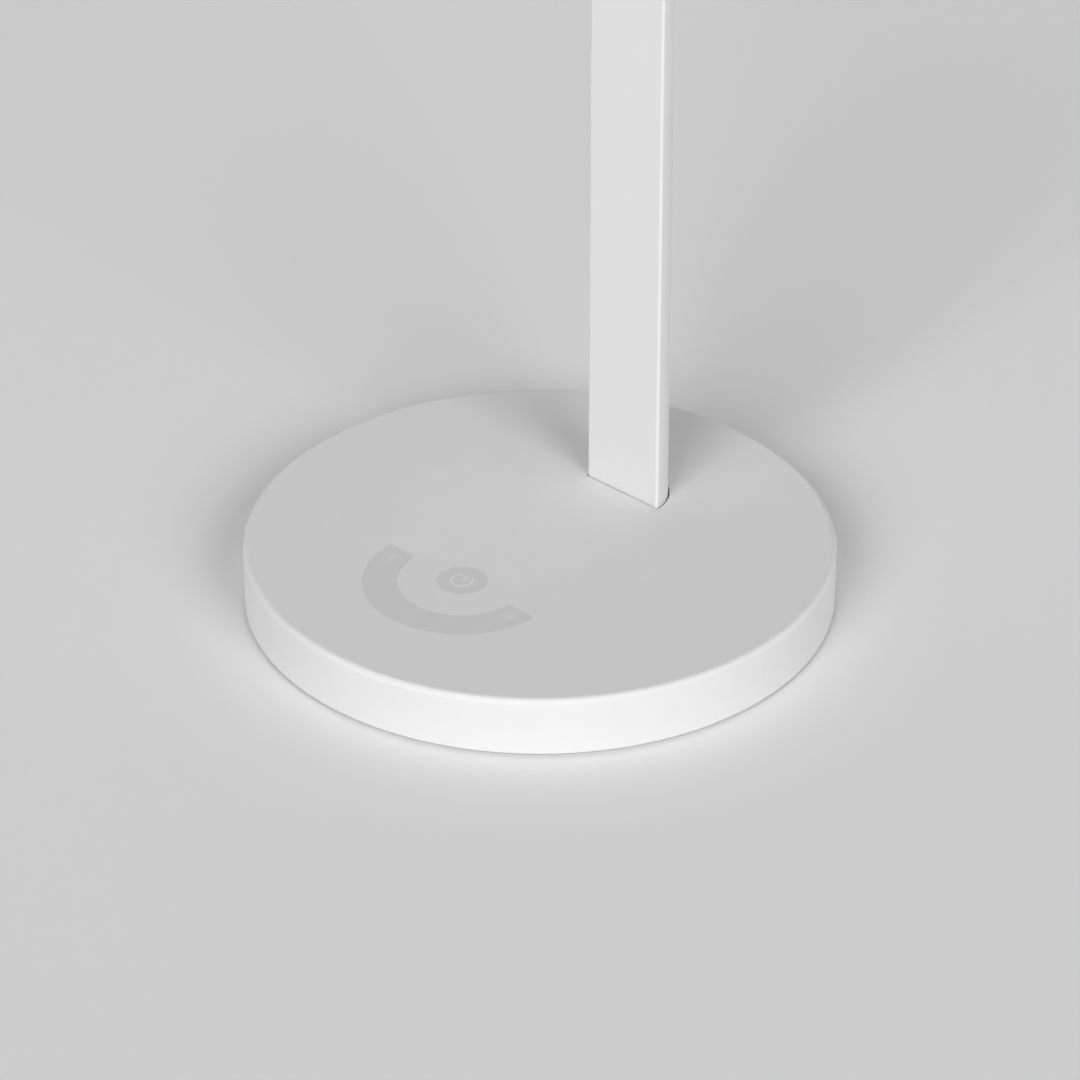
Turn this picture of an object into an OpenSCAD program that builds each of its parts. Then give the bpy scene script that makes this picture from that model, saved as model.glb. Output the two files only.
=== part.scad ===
// Folding desk lamp: a weighted round base with touch controls, a half-round stem,
// and a half-round light arm that folds down onto the stem, flat face to flat face.
// Millimetres, +Z up, front is -Y. The origin is the base's centre on the table.

/* [Base shell] */
// Outside diameter of the base
base_d = 180; // [170:1:220]
// Height of the shell, from its rim to its top
base_h = 18.8; // [18:0.2:24]
// Gap between the shell's rim and the table
rim_lift = 1; // [0.6:0.1:1.4]
// Radius of the rounded top edge
edge_r = 1.8; // [0.6:0.1:2]
// Chamfer round the foot of the rim
rim_chamfer = 0.3; // [0.2:0.1:1]
// Thickness of the shell's side
side_wall = 2.2; // [1.8:0.1:3]
// Thickness of the shell's top
top_wall = 2.4; // [2:0.1:3]
// Diameter of the shell's screw bosses
boss_d = 6.8; // [6:0.2:8]
// Thickness of the rib between a boss and the side
boss_rib = 2; // [1.6:0.1:3]

/* [Bottom plate, mat and ballast] */
// Thickness of the bottom plate
plate_t = 1.8; // [1.5:0.1:2.4]
// Gap between the plate's edge and the shell
plate_fit = 0.25; // [0.1:0.05:0.5]
// Distance from the shell's side to the plate's screws
plate_screw_inset = 5.3; // [5:0.1:6]
// Number of plate screws
plate_screw_count = 5; // [3:2:7]
// Diameter of the plate screws
plate_screw_d = 3; // [2.5:0.5:3]
// Length of the plate screws
plate_screw_l = 10; // [8:1:12]
// Distance from the base's outside in to the non-slip mat's edge
mat_inset = 28; // [18:0.5:40]
// Thickness of the non-slip mat
mat_t = 1.8; // [1.6:0.1:2.4]
// Depth of the recess that holds the mat
mat_recess = 0.4; // [0.2:0.1:0.6]
// Thickness of the steel ballast
ballast_t = 6.2; // [5:0.1:7]
// Distance from the shell's side to the ballast's edge
ballast_inset = 9.8; // [9.2:0.1:14]
// Distance from the ballast's edge to its screws
ballast_screw_inset = 12; // [8:0.5:16]
// Diameter of the ballast screws
ballast_screw_d = 3; // [2.5:0.5:4]
// Length of the ballast screws
ballast_screw_l = 12; // [10:0.5:12.5]

/* [Half-round bars] */
// Width across the flat face of the stem and the arm
bar_w = 29; // [28:0.5:32]
// Gap between the two flat faces when the lamp is folded
fold_gap = 1; // [0.6:0.1:1.6]
// Radius of the two corners beside the flat face
bar_corner_r = 0.8; // [0.4:0.1:1]
// Width of the shadow line where two pieces of a bar meet
seam_w = 0.3; // [0.2:0.05:0.5]
// Depth of that shadow line
seam_depth = 0.3; // [0.2:0.05:0.5]
// Wall thickness of the stem tube and of the arm shell
tube_wall = 1.4; // [1.2:0.1:1.6]
// Distance from the base's back edge forward to the stem's flat face
stem_inset = 53.2; // [52:0.2:58]
// Height of the hinge pin above the table
hinge_h = 400; // [340:5:450]
// Room between the folded arm's tip and the base
tip_clear = 15.6; // [8:0.2:30]
// Gap round the stem's back in the base's slot
slot_gap = 0.4; // [0.2:0.05:0.6]
// Gap before the stem's flat face in the base's slot
slot_front_gap = 0.4; // [0.15:0.05:0.5]
// Chamfer round the top of the slot
slot_chamfer = 0.3; // [0.2:0.05:0.5]

/* [Stem foot] */
// Width of the foot's flange beyond the stem
foot_rim = 4; // [3:0.2:5]
// Thickness of the foot's flange
foot_flange_t = 3.4; // [3.2:0.1:3.8]
// Height of the foot's plug inside the stem
foot_plug_h = 32; // [24:1:60]
// Gap between a plug and the wall round it
plug_fit = 0.1; // [0.05:0.01:0.2]
// Diameter of the screws from the ballast into the foot
foot_screw_d = 4; // [3:0.5:4]
// Length of the screws from the ballast into the foot
foot_screw_l = 18; // [14:1:24]
// Sideways distance of these screws from the centre
foot_screw_x = 8.4; // [7.8:0.1:8.8]
// Depth of these screws behind the hinge line
foot_screw_v = 5.2; // [4.8:0.1:5.8]
// Diameter of the grub screws that hold the stem on the foot
grub_d = 2.5; // [2:0.5:2.5]
// Length of the grub screws
grub_l = 4.6; // [4:0.1:5]
// Sideways distance of the grub screws from the centre
grub_x = 3.8; // [3.4:0.1:4]
// Diameter of the cable's bore in the foot
foot_bore_d = 4; // [3:0.2:4]
// Depth of the cable's bore behind the hinge line
foot_bore_v = 8.8; // [8.4:0.1:9.4]
// Height of the cable's groove under the flange
foot_groove_h = 2.4; // [2.2:0.1:2.6]
// Length of the ramp from that groove into the bore
foot_ramp = 2.6; // [2:0.1:2.8]

/* [Touch controls] */
// Distance from the base's front edge back to the controls' centre
pad_inset = 56; // [50:0.5:60]
// Diameter of the power pad
pad_d = 15.5; // [12:0.5:20]
// Inner radius of the slider
slider_in_r = 19.5; // [16:0.5:22]
// Outer radius of the slider
slider_out_r = 30; // [26:0.5:32]
// Thickness of the pad and the slider
inlay_t = 0.5; // [0.3:0.1:0.8]
// Gap between an inlay and its pocket
inlay_fit = 0.02; // [0.01:0.01:0.05]
// Width of the touch board
touch_board_w = 70; // [68:1:76]
// Length of the touch board from front to back
touch_board_l = 46; // [44:1:50]
// Thickness of the touch board
touch_board_t = 1; // [0.8:0.1:1.6]
// Distance that the touch board reaches behind the controls' centre
touch_board_back = 13; // [12:0.5:14]
// Thickness of the conductive foam between the board and the shell
foam_t = 0.6; // [0.5:0.1:1]
// Number of foam segments under the slider
foam_count = 5; // [3:1:7]
// Gap between two foam segments, in degrees
foam_gap_deg = 4; // [3:0.5:6]
// Distance of the foam's edge from the inlay's edge
foam_margin = 1; // [0.5:0.1:2]
// Diameter of the stakes that hold the touch board
stake_d = 2; // [1.6:0.1:2.4]
// Diameter of a stake's melted head
stake_head_d = 3.8; // [3.4:0.1:4.4]
// Thickness of a stake's melted head
stake_head_t = 0.6; // [0.5:0.1:1]
// Distance of the stakes from the touch board's edges
stake_inset = 4; // [3:0.2:5]
// Sideways distance of the touch board's connector from the centre
touch_socket_x = 16; // [8:1:26]
// Width and length of the touch chip
touch_chip_w = 5; // [4:0.5:7]
// Thickness of the touch chip
touch_chip_t = 1; // [0.8:0.1:1.4]

/* [Driver board and inlet] */
// Width of the driver board
driver_w = 64; // [56:1:66]
// Length of the driver board from front to back
driver_l = 18; // [16:0.5:18]
// Thickness of both circuit boards' laminate in the base
driver_t = 1.4; // [1:0.1:1.6]
// Height of the posts under the driver board
post_h = 2; // [1.5:0.1:2.4]
// Diameter of the posts under the driver board
post_d = 4.4; // [4:0.2:5]
// Diameter of the driver board's screws
board_screw_d = 2; // [1.6:0.2:2]
// Distance of the posts from the driver board's edges
post_inset = 2.6; // [2.4:0.1:3]
// Gap between the ballast and the driver board
driver_gap = 1.2; // [0.8:0.1:1.4]
// Distance from the base's outside to the inlet's face
jack_recess = 0.6; // [0.2:0.1:1]
// Diameter of the inlet's nose
jack_nose_d = 8; // [7.6:0.1:8.4]
// Length of the inlet's nose
jack_nose_l = 2.8; // [2.6:0.1:4]
// Gap round the inlet's nose
jack_fit = 0.15; // [0.1:0.05:0.3]
// Length of the inlet's body
jack_l = 13; // [12:0.5:14]
// Width of the inlet's body
jack_w = 9; // [8.6:0.1:10]
// Height of the inlet's body
jack_h = 9.4; // [9:0.1:9.6]
// Height of the inlet's centre above its board
jack_axis_h = 4.7; // [4.6:0.1:4.8]
// Diameter of the inlet's bore
jack_bore_d = 6.4; // [6:0.1:6.6]
// Depth of the inlet's bore
jack_bore_l = 10.4; // [9:0.1:11]
// Length of the inlet's body that lies on the board
jack_seat_l = 6; // [5:0.5:7]
// Length of the centre pin's root in the inlet's floor
jack_root_l = 2; // [1.5:0.1:3]
// Diameter of the inlet's centre pin
jack_pin_d = 2; // [1.9:0.1:2.5]
// Distance from the inlet's face to the pin's tip
jack_pin_recess = 1; // [0.5:0.1:1.5]
// Distance from the driver board's back edge to the row of tall parts
parts_inset = 6; // [5:0.2:7]
// Width and length of the power inductor
inductor_w = 8; // [6:0.5:9]
// Height of the power inductor
inductor_h = 4.2; // [3:0.1:5]
// Sideways distance of the power inductor from the centre
inductor_x = 14; // [10:0.5:20]
// Diameter of the capacitor
capacitor_d = 8; // [6.3:0.1:8]
// Height of the capacitor
capacitor_h = 8.2; // [6:0.1:8.6]
// Distance from the driver board's right edge in to the capacitor's centre
capacitor_inset = 13; // [12:0.5:15]
// Width and length of the driver board's chips
chip_l = 4; // [3:0.5:5]
// Thickness of the driver board's chips
chip_t = 1.5; // [1:0.1:2]
// Width of a cable connector
connector_w = 7; // [6:0.5:8]
// Depth of a cable connector from front to back
connector_l = 4.6; // [4:0.2:5]
// Height of a cable connector
connector_h = 3.6; // [3:0.1:4]
// Distance from the driver board's left edge in to the touch cable's connector
touch_plug_inset = 10; // [9.5:0.5:14]
// Sideways distance of the stem cable's connector from the centre
stem_plug_x = 9; // [8:0.5:12]
// Distance from the driver board's front edge back to its connectors
plug_inset = 3.4; // [3:0.1:4.5]
// Diameter of the cables
cable_d = 2; // [1.6:0.1:2]
// Straight length of a cable beside its connector
cable_lead = 8; // [6:0.5:9]
// Gap between the touch cable and the stem's foot
cable_room = 7; // [5:0.5:9]

/* [Hinge] */
// Width of the stem's tongue
tongue_w = 13; // [12.6:0.1:14]
// Gap between the tongue and each ear
ear_gap = 0.5; // [0.4:0.05:0.8]
// How far the ears' flat sides lie inside the bar's outline
ear_flat_in = 1.3; // [1.1:0.05:1.5]
// Gap between the turning ball and the hollows round it
ball_gap = 0.35; // [0.3:0.05:0.6]
// Distance from the hinge line to the shoulders of both bars
shoulder = 9; // [8:0.2:10]
// Distance from the hinge line to the end of both fittings' collars
collar = 22; // [19:0.5:26]
// Length of the fittings' plugs
hinge_plug_h = 28; // [20:1:40]
// Diameter of the hinge pin
pin_d = 6; // [5:0.2:6]
// Wall thickness of the bush round the pin
bush_t = 1; // [0.8:0.1:1.2]
// Gap between the pin and the bush
pin_fit = 0.04; // [0.02:0.01:0.08]
// Diameter of the counterbores for the pin's head and nut
pocket_d = 10; // [9.8:0.1:10.4]
// Depth of these counterbores
pocket_depth = 3.9; // [3.7:0.1:4.1]
// Thickness of the caps over them
cap_t = 1.2; // [1:0.1:1.4]
// Diameter of the pin's head
pin_head_d = 9.2; // [8.6:0.1:9.6]
// Thickness of the pin's head
pin_head_t = 2.2; // [1.8:0.1:2.4]
// Width across the corners of the nut
nut_d = 9.2; // [8.6:0.1:9.6]
// Thickness of the nut
nut_t = 1.8; // [1.6:0.1:2]
// Thickness of a disc spring
spring_t = 0.25; // [0.2:0.05:0.3]
// Height of the cone of a disc spring
spring_cone = 0.1; // [0.05:0.01:0.12]
// Diameter of the friction washers
washer_d = 14.8; // [12:0.2:15]
// Gap between a friction washer and its ear
washer_gap = 0.05; // [0.03:0.01:0.1]
// Angle that the arm tilts up from level
open_deg = 45; // [20:5:60]
// Angle that the arm folds down from level
fold_deg = 90; // [60:5:90]
// Diameter of the stop dowel
dowel_d = 3; // [2.4:0.1:3]
// Length of the stop dowel inside the ear
dowel_seat = 2; // [1.6:0.1:2.1]
// Length of the stop dowel inside its groove
dowel_reach = 1.9; // [1.4:0.1:2]
// Room round the dowel in its groove
stop_fit = 0.1; // [0.05:0.01:0.2]
// Depth of the stop groove and of the cable's ring groove
groove_depth = 3; // [2.9:0.1:3.2]
// Distance from the tongue's side in to the cable's centre
cable_inset = 1.8; // [1.7:0.05:1.9]
// Distance from the hinge line back to the cable's bore in the tongue
tongue_bore_v = 7.5; // [7:0.1:8]
// Distance along the arm from the hinge line to the dowel
channel_u = 8; // [7.6:0.1:8.2]
// Distance above the arm's hinge line to the dowel
channel_v = 5; // [4.6:0.1:5.2]
// Diameter of the screws through the flat faces
flat_screw_d = 3; // [2.5:0.5:3]
// Diameter of the covers pressed in over those screws
screw_cover_d = 6.4; // [6:0.2:7]
// Thickness of those covers
screw_cover_t = 0.5; // [0.4:0.05:0.6]
// Length of the screw through the stem's flat face
stem_screw_l = 8; // [6:0.5:9]
// Length of the screw through the arm's flat face
fork_screw_l = 11; // [9:0.5:11.5]
// Distance from the hinge line to the stem's flat screw
stem_screw_u = 34; // [30:0.5:40]

/* [Arm] */
// Distance from the bar's centre to the web inside the arm shell
web_v = 8.6; // [8.2:0.1:9]
// Thickness of the web inside the arm shell
web_t = 1.4; // [1.2:0.1:1.6]
// Width of the light opening
lens_w = 20.4; // [18:0.2:21]
// Width of the diffuser's hidden edge on each side
lens_edge = 1.9; // [1.5:0.1:2]
// Thickness of the diffuser's face and of its hidden edges
lens_t = 1.4; // [1.2:0.1:1.5]
// Gap beside the diffuser
lens_fit = 0.12; // [0.08:0.01:0.2]
// Distance that the diffuser's face lies inside the arm's flat face
lens_recess = 0.2; // [0.1:0.05:0.3]
// Length of the fork's block at the root of the light opening
block_l = 11; // [9:0.5:14]
// Width of the light board
led_board_w = 17; // [15:0.5:17]
// Thickness of the light board
led_board_t = 1.2; // [1:0.1:1.4]
// Gap between the light board and the fork's block
led_start_gap = 1; // [0.5:0.1:2]
// Gap between the light board and the end cap
led_end_gap = 2; // [1:0.1:3]
// Distance from the fork's block to the first light chip
first_chip_gap = 16; // [14:0.5:20]
// Distance between two light chips
led_pitch = 9; // [6:0.5:16]
// Length of a light chip
led_l = 2.8; // [2:0.1:3.5]
// Width of a light chip
led_w = 3.5; // [2.8:0.1:4]
// Thickness of a light chip
led_t = 0.7; // [0.5:0.1:0.9]
// Thickness of the reflector strips
reflector_t = 0.3; // [0.2:0.05:0.4]
// Distance from the reflector's start to the first light chip
reflector_lead = 4; // [2:0.5:4]
// Gap between the reflector and the end cap
reflector_end_gap = 1; // [0.5:0.1:2]
// Length of the end cap
tip_l = 8; // [7:0.5:12]
// Radius of the end cap's rounded rim
tip_edge_r = 1.3; // [0.6:0.1:2]
// Length of the end cap's plug
tip_plug_l = 12; // [8:1:20]
// Diameter of the bumper
bumper_d = 5.2; // [4:0.2:6]
// Room left between the bumper and the stem when the lamp is folded
bumper_room = 0.2; // [0.1:0.05:0.3]
// Depth of the bumper's seat
bumper_seat = 0.5; // [0.3:0.1:0.8]
// Diameter of the cable's bore in the fork
fork_bore_d = 2.6; // [2.4:0.1:2.8]
// Sideways distance of the cable's bore from the centre
fork_bore_x = 9.2; // [9:0.1:9.4]

/* [Hidden] */
$fn = 96;

shell_white = [0.93, 0.93, 0.92];
paint_white = [0.95, 0.95, 0.94];
inlay_grey = [0.78, 0.78, 0.78];
steel = [0.62, 0.63, 0.65];
zinc = [0.70, 0.71, 0.72];
brass = [0.78, 0.64, 0.32];
laminate = [0.10, 0.36, 0.20];
black = [0.09, 0.09, 0.10];
opal = [0.97, 0.97, 0.94];
phosphor = [0.95, 0.88, 0.45];

lap = 0.5;          // how far joined solids reach into each other
over = 5;           // how far a cutter reaches past what it cuts
screw_fit = 0.05;   // room round a screw, on its radius
press_fit = 0.02;   // room round a pressed or glued piece, on its radius
cable_fit = 0.25;   // room round a cable, on its radius
drill_tip = 1;      // how far a screw's hole runs past its point
head_ratio = 0.95;  // a screw's head radius for each millimetre of its diameter
hex_ratio = 0.3;    // its hexagon's radius, the same way

// Heights in the base
base_top_z = rim_lift + base_h;
roof_z = base_top_z - top_wall;
plate_z = mat_t - mat_recess;
plate_top_z = plate_z + plate_t;
ballast_top_z = plate_top_z + ballast_t;
stem_z = ballast_top_z + foot_flange_t;

// Radii in the base
base_r = base_d / 2;
inner_r = base_r - side_wall;
mat_r = base_r - mat_inset;
boss_pitch_r = inner_r - plate_screw_inset;
ballast_r = inner_r - ballast_inset;
ballast_screw_r = ballast_r - ballast_screw_inset;
plate_screw_deg = [for (i = [0 : plate_screw_count - 1]) -90 + i * 360 / plate_screw_count];
ballast_screw_deg = [-135, -45, 22, 158];

// Half-round bars and the hinge line
bar_flat = fold_gap / 2;
bar_r = sqrt(pow(bar_w / 2, 2) + pow(bar_flat, 2));
tube_r = bar_r - tube_wall;
tube_flat = bar_flat + tube_wall;
stem_y = base_r - stem_inset;
hinge_y = stem_y - bar_flat;
arm_len = hinge_h - base_top_z - tip_clear;
shell_end = arm_len - tip_l;

// Inlet and driver board
jack_face_y = base_r - jack_recess;
jack_front_y = jack_face_y - jack_nose_l;
jack_back_y = jack_front_y - jack_l;
driver_back_y = jack_back_y + jack_seat_l;
driver_front_y = driver_back_y - driver_l;
driver_z = plate_top_z + post_h;
driver_top_z = driver_z + driver_t;
jack_axis_z = driver_top_z + jack_axis_h;
jack_floor_y = jack_face_y - jack_bore_l;
jack_root_r = 1.3 * jack_pin_d / 2;
chord_y = driver_front_y - driver_gap;
parts_y = driver_back_y - parts_inset;
touch_plug_x = driver_w / 2 - touch_plug_inset;
socket_y = driver_front_y + plug_inset;
socket_top_z = driver_top_z + connector_h;
loop_z = socket_top_z + 1.3 * cable_d;

// Touch controls and their board
pad_front = base_r - pad_inset;
touch_top_z = roof_z - foam_t;
touch_z = touch_top_z - touch_board_t;
touch_back_y = -pad_front + touch_board_back;
touch_front_y = touch_back_y - touch_board_l;

// Hinge, from the centre outward
tongue_x = tongue_w / 2;
slot_x = tongue_x + ear_gap;
cable_x = cable_inset - tongue_x;
spring_stack = 2 * (spring_t + spring_cone);
ear_face = bar_r - ear_flat_in;
pocket_x = ear_face - pocket_depth;
bush_r = pin_d / 2 + pin_fit + bush_t;
spot_r = sqrt(pow(bar_r, 2) - pow(ear_face, 2));
channel_r = norm([channel_u, channel_v]);
channel_deg = 180 - atan2(channel_v, channel_u);

// Arm
block_end = collar + block_l;
fork_screw_u = collar + block_l / 2;
bumper_u = arm_len - tip_l / 2;
bumper_rise = fold_gap - bumper_room;
led_top_v = web_v - led_board_t;
led_start = block_end + led_start_gap;
led_end = shell_end - led_end_gap;
first_chip = block_end + first_chip_gap;
chip_count = floor((led_end - first_chip) / led_pitch);

function unit(v) = v / norm(v);

// ---- Frames and shared shapes ----

// Local frame of the stem's top: x across, y towards the round back, z down from the hinge line
module stem_frame() { translate([0, hinge_y, hinge_h]) mirror([0, 0, 1]) children(); }

// Local frame of the level arm: x across, y towards the round back, z out from the hinge line
module arm_frame() { translate([0, hinge_y, hinge_h]) rotate([90, 0, 0]) children(); }

// Everything between two planes across the bar
module slab(x0, x1) {
    reach = 3 * bar_r;
    translate([x0, -reach, -reach]) cube([x1 - x0, 2 * reach, 2 * reach]);
}

// Ball round the hinge line, with its poles on that line
module ball(r) { rotate([0, 90, 0]) sphere(r); }

// Round rod along the hinge line
module cross_rod(r, x0, x1) { translate([x0, 0, 0]) rotate([0, 90, 0]) cylinder(r = r, h = x1 - x0); }

// Circle cut flat at y = flat, with round corners beside the flat
module half_round(r, flat, corner) {
    corner_x = sqrt(pow(r - corner, 2) - pow(flat + corner, 2));
    touch = r / (r - corner);
    touch_y = (flat + corner) * touch;
    intersection() {
        circle(r);
        translate([-r, touch_y]) square([2 * r, 2 * r]);
    }
    polygon([[-corner_x, flat], [corner_x, flat],
        [corner_x * touch, touch_y], [-corner_x * touch, touch_y]]);
    for (side = [-1, 1]) translate([side * corner_x, flat + corner]) circle(corner);
}

module bar_outline() { half_round(bar_r, bar_flat, bar_corner_r); }

// The bar's outline as it steps in at a shadow line
module seam_outline() { half_round(bar_r - seam_depth, bar_flat + seam_depth, bar_corner_r); }

// The stem tube's inside, or a plug that fits in it
module bore_outline(gap) { half_round(tube_r - gap, tube_flat + gap, bar_corner_r / 2); }

// The band of the arm shell's inside between two distances from the bar's centre
module chamber(v0, v1, gap) {
    intersection() {
        circle(tube_r - gap);
        translate([-bar_r, v0 + gap]) square([2 * bar_r, v1 - v0 - 2 * gap]);
    }
}

module upper_chamber(gap) { chamber(web_v + web_t, bar_r, gap); }
module lower_chamber(gap) { chamber(tube_flat, web_v, gap); }

module rounded_rect(w, l, r) {
    square([w - 2 * r, l], center = true);
    square([w, l - 2 * r], center = true);
    for (x = [-1, 1], y = [-1, 1]) translate([x * (w / 2 - r), y * (l / 2 - r)]) circle(r);
}

// Countersunk screw, its head's face at z = 0 and its point up
module flat_screw(d, l) {
    head_r = head_ratio * d;
    difference() {
        rotate_extrude() polygon([[0, 0], [head_r, 0], [d / 2, head_r - d / 2], [d / 2, l - d / 4],
            [d / 4, l], [0, l]]);
        translate([0, 0, -lap]) cylinder(r = hex_ratio * d, h = lap + 0.4 * d, $fn = 6);
    }
}

// Room for a countersunk screw
module flat_screw_hole(d, l) {
    head_r = head_ratio * d + screw_fit;
    shank_r = d / 2 + screw_fit;
    rotate_extrude() polygon([[0, -over], [head_r, -over], [head_r, 0],
        [shank_r, head_r - shank_r], [shank_r, l], [0, l]]);
}

// Room for a countersunk screw that stands under a pressed-in cover, the face at z = 0
module covered_screw_hole(l) {
    translate([0, 0, screw_cover_t]) flat_screw_hole(flat_screw_d, l);
    translate([0, 0, -over]) cylinder(r = screw_cover_d / 2 + press_fit, h = over + screw_cover_t);
}

module covered_screw(l) { translate([0, 0, screw_cover_t]) flat_screw(flat_screw_d, l); }

// The cover over such a screw, its rim broken
module screw_cover() {
    r = screw_cover_d / 2;
    broken = 0.15;
    rotate_extrude() polygon([[0, 0], [r - broken, 0], [r, broken], [r, screw_cover_t], [0, screw_cover_t]]);
}

// Pan-head screw, the underside of its head at z = 0 and its point down
module pan_screw(d, l) {
    head_r = head_ratio * d;
    head_h = 0.6 * d;
    difference() {
        union() {
            translate([0, 0, -l]) cylinder(r = d / 2, h = l + lap);
            cylinder(r = head_r, h = head_h);
        }
        translate([0, 0, head_h / 2]) cylinder(r = hex_ratio * d, h = head_h, $fn = 6);
    }
}

// Points of one corner of a path, rounded off
function corner_points(a, b, c, r) =
    let (room = min(r, 0.45 * norm(a - b), 0.45 * norm(c - b)),
        p = b + room * unit(a - b),
        q = b + room * unit(c - b))
    [for (t = [0 : 0.25 : 1]) (1 - t) * (1 - t) * p + 2 * t * (1 - t) * b + t * t * q];

// A path with all its corners rounded off
function rounded_path(path, r) = [
    path[0],
    for (i = [1 : len(path) - 2]) each corner_points(path[i - 1], path[i], path[i + 1], r),
    path[len(path) - 1]
];

// Round cable along a path that never runs along the vector side
module cable(path, d, side) {
    sides = 8;
    last = len(path) - 1;
    points = [for (i = [0 : last])
        let (along = unit(path[min(i + 1, last)] - path[max(i - 1, 0)]),
            e1 = unit(cross(along, side)),
            e2 = cross(along, e1))
        for (k = [0 : sides - 1])
            let (a = 360 * k / sides) path[i] + d / 2 * (cos(a) * e1 + sin(a) * e2)];
    walls = [for (i = [0 : last - 1], k = [0 : sides - 1])
        let (p = i * sides + k, q = i * sides + (k + 1) % sides)
        each [[p, p + sides, q], [q, p + sides, q + sides]]];
    ends = [[for (k = [0 : sides - 1]) k], [for (k = [sides - 1 : -1 : 0]) last * sides + k]];
    polyhedron(points, concat(walls, ends));
}

// ---- Base ----

// Half of the shell's section: the rounded top edge, the side and the open underside
module shell_section() {
    difference() {
        union() {
            translate([0, rim_lift]) square([base_r, base_h - edge_r]);
            translate([0, rim_lift]) square([base_r - edge_r, base_h]);
            translate([base_r - edge_r, base_top_z - edge_r]) circle(edge_r);
        }
        square([inner_r, roof_z]);
        polygon([[base_r - rim_chamfer, rim_lift], [base_r + over, rim_lift - over],
            [base_r + over, rim_lift + rim_chamfer + over], [base_r, rim_lift + rim_chamfer]]);
    }
}

// One boss under the roof down to z, with its screw's hole
module boss(r, deg, z) {
    rotate(deg) translate([r, 0, z]) cylinder(d = boss_d, h = roof_z - z + lap);
}

// The four stakes that hold the touch board
module at_stakes() {
    for (x = [-1, 1], y = [touch_front_y + stake_inset, touch_back_y - stake_inset])
        translate([x * (touch_board_w / 2 - stake_inset), y, 0]) children();
}

module slider_ring(gap, h) {
    translate([0, -pad_front, base_top_z - inlay_t]) rotate(180) rotate_extrude(angle = 180)
        translate([slider_in_r + gap, 0]) square([slider_out_r - slider_in_r - 2 * gap, h]);
}

// Slot for the stem, with a chamfer round its top
module stem_slot() {
    slot_r = bar_r + slot_gap;
    slot_flat = bar_flat - slot_front_gap;
    translate([0, hinge_y, roof_z - over])
        linear_extrude(top_wall + 2 * over) half_round(slot_r, slot_flat, bar_corner_r);
    translate([0, hinge_y, base_top_z - slot_chamfer]) {
        difference() {
            cylinder(r1 = slot_r, r2 = slot_r + 2 * slot_chamfer, h = 2 * slot_chamfer);
            translate([-2 * slot_r, slot_flat - 4 * slot_r, -over])
                cube([4 * slot_r, 4 * slot_r, 3 * over]);
        }
        translate([-slot_r, slot_flat, 0]) rotate([90, 0, 90]) linear_extrude(2 * slot_r)
            polygon([[0, 0], [1, 0], [1, 2 * slot_chamfer], [-2 * slot_chamfer, 2 * slot_chamfer]]);
    }
}

module base_cover() {
    color(shell_white) difference() {
        union() {
            rotate_extrude() shell_section();
            for (deg = plate_screw_deg) {
                boss(boss_pitch_r, deg, plate_top_z);
                rotate(deg) translate([boss_pitch_r, -boss_rib / 2, plate_top_z])
                    cube([plate_screw_inset + lap, boss_rib, roof_z - plate_top_z + lap]);
            }
            for (deg = ballast_screw_deg) boss(ballast_screw_r, deg, ballast_top_z);
            at_stakes() {
                translate([0, 0, touch_top_z]) cylinder(d = stake_head_d, h = foam_t + lap);
                translate([0, 0, touch_z - stake_head_t])
                    cylinder(d = stake_d, h = roof_z - touch_z + stake_head_t + lap);
                translate([0, 0, touch_z - stake_head_t]) cylinder(d = stake_head_d, h = stake_head_t);
            }
        }
        for (deg = plate_screw_deg) rotate(deg) translate([boss_pitch_r, 0, plate_z])
            cylinder(d = plate_screw_d + 2 * screw_fit, h = plate_screw_l + drill_tip);
        for (deg = ballast_screw_deg) rotate(deg) translate([ballast_screw_r, 0, plate_top_z])
            cylinder(d = ballast_screw_d + 2 * screw_fit, h = ballast_screw_l + drill_tip);
        stem_slot();
        translate([0, -pad_front, base_top_z - inlay_t]) cylinder(d = pad_d, h = over);
        slider_ring(0, over);
        translate([0, inner_r - over, jack_axis_z]) rotate([-90, 0, 0])
            cylinder(d = jack_nose_d + 2 * jack_fit, h = side_wall + 2 * over);
    }
}

module power_pad() {
    color(inlay_grey) translate([0, -pad_front, base_top_z - inlay_t])
        cylinder(r = pad_d / 2 - inlay_fit, h = inlay_t);
}

module dimmer_arc() { color(inlay_grey) slider_ring(inlay_fit, inlay_t); }

// The places of the driver board's posts
module at_posts() {
    for (x = [-1, 1], y = [driver_front_y + post_inset, driver_back_y - post_inset])
        translate([x * (driver_w / 2 - post_inset), y, 0]) children();
}

module base_plate() {
    color(black) difference() {
        union() {
            translate([0, 0, plate_z]) cylinder(r = inner_r - plate_fit, h = plate_t);
            at_posts() translate([0, 0, plate_top_z - lap]) cylinder(d = post_d, h = post_h + lap);
        }
        translate([0, 0, plate_z - over]) cylinder(r = mat_r + plate_fit, h = mat_recess + over);
        for (deg = plate_screw_deg) rotate(deg) translate([boss_pitch_r, 0, plate_z])
            flat_screw_hole(plate_screw_d, plate_screw_l);
        at_posts() translate([0, 0, plate_top_z])
            cylinder(d = board_screw_d + 2 * screw_fit, h = post_h + over);
    }
}

module grip_mat() { color(black) cylinder(r = mat_r, h = mat_t); }

module plate_screws() {
    color(steel) for (deg = plate_screw_deg) rotate(deg) translate([boss_pitch_r, 0, plate_z])
        flat_screw(plate_screw_d, plate_screw_l);
}

// The places of the two screws from the ballast into the stem's foot
module at_foot_screws() {
    for (x = [-1, 1]) translate([x * foot_screw_x, hinge_y + foot_screw_v, plate_top_z]) children();
}

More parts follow.
